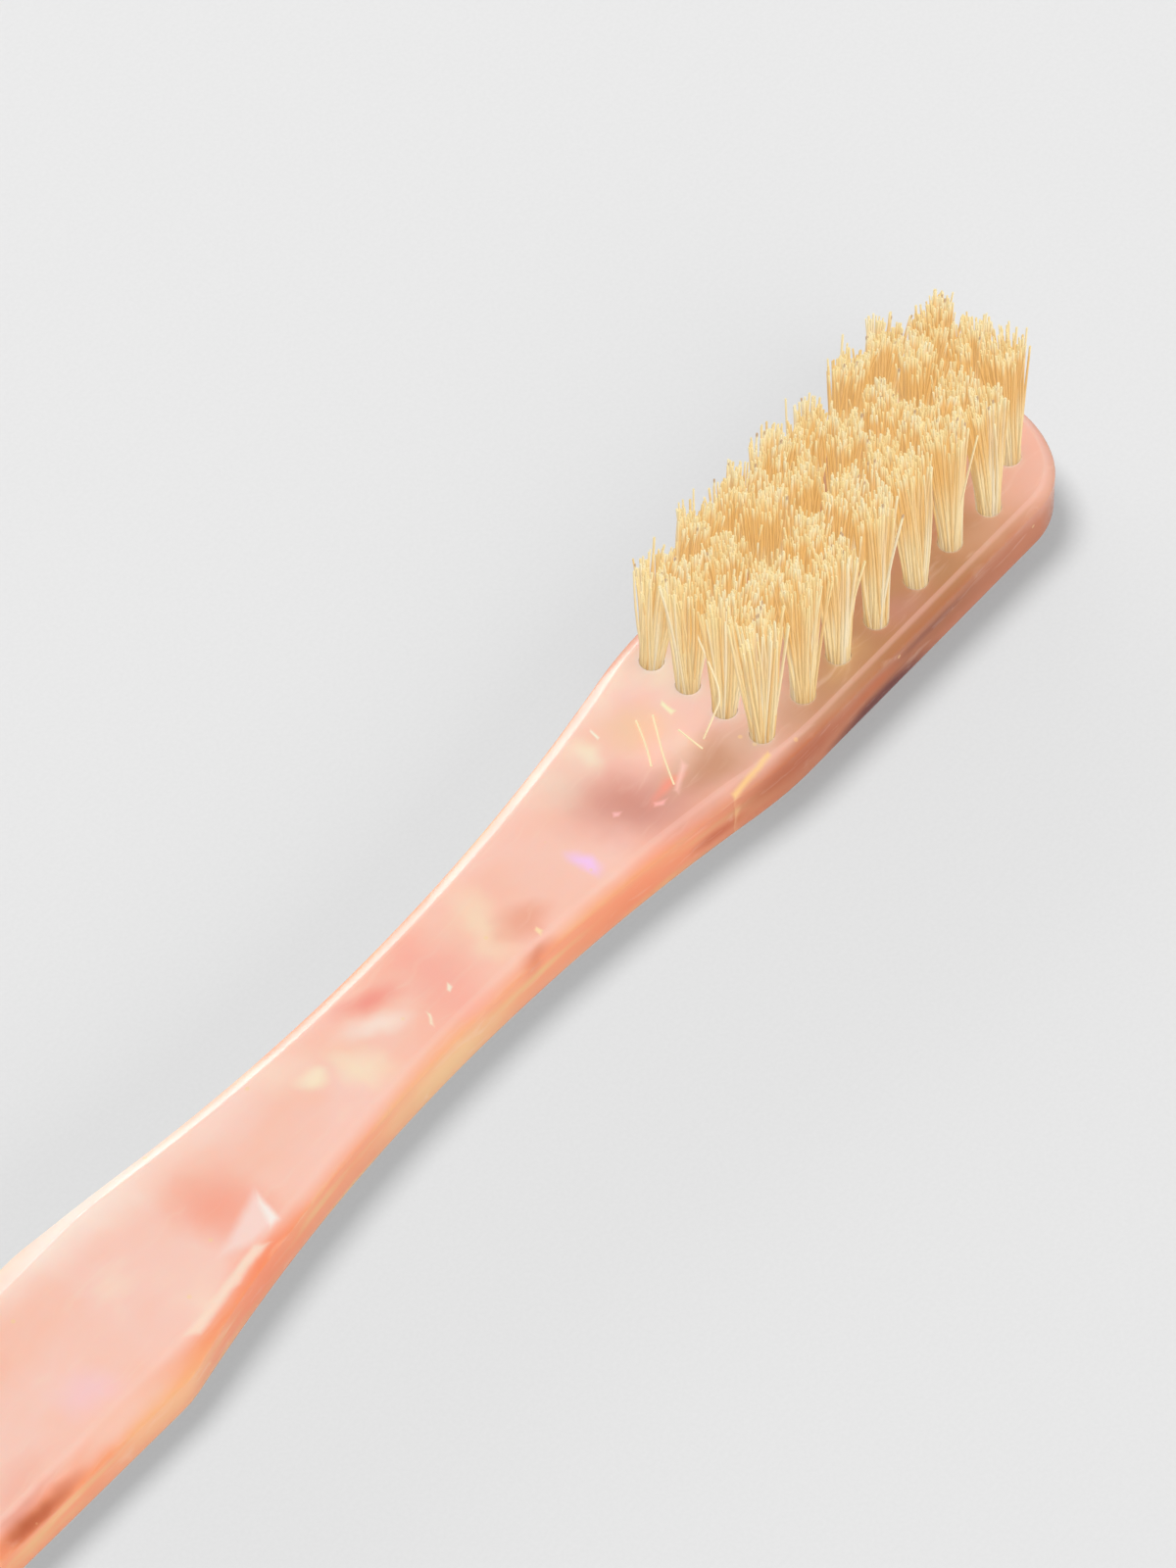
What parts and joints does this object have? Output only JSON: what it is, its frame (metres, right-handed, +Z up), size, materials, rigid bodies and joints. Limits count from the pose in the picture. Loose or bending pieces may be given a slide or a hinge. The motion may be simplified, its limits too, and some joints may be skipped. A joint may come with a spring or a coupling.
{
  "type": "manual toothbrush",
  "caption": "Flat acetate manual toothbrush with natural bristle tufts held in blind holes by hidden metal anchors.",
  "frame": {"origin": "middle of the bounding box in length and width, on the flat underside of the handle", "axes": "+X along the length towards the tip of the head, +Y across the handle, +Z up through the tufts"},
  "size_m": [0.178, 0.0128, 0.0157],
  "materials": {
    "acetate": "polished, pearly, slightly see-through",
    "hair": "stiff natural hair, trimmed level",
    "anchor": "cut flat wire"
  },
  "bodies": {
    "root": {"handle": "acetate", "tuft_row1_column1": "hair", "tuft_row1_column2": "hair", "tuft_row1_column3": "hair", "tuft_row2_column1": "hair", "tuft_row2_column2": "hair", "tuft_row2_column3": "hair", "tuft_row2_column4": "hair", "tuft_row3_column1": "hair", "tuft_row3_column2": "hair", "tuft_row3_column3": "hair", "tuft_row3_column4": "hair", "tuft_row4_column1": "hair", "tuft_row4_column2": "hair", "tuft_row4_column3": "hair", "tuft_row4_column4": "hair", "tuft_row5_column1": "hair", "tuft_row5_column2": "hair", "tuft_row5_column3": "hair", "tuft_row5_column4": "hair", "tuft_row6_column1": "hair", "tuft_row6_column2": "hair", "tuft_row6_column3": "hair", "tuft_row6_column4": "hair", "tuft_row7_column1": "hair", "tuft_row7_column2": "hair", "tuft_row7_column3": "hair", "tuft_row7_column4": "hair", "tuft_row8_column1": "hair", "tuft_row8_column2": "hair", "tuft_row8_column3": "hair", "tuft_row8_column4": "hair", "tuft_anchors": "anchor"}
  },
  "joints": []
}
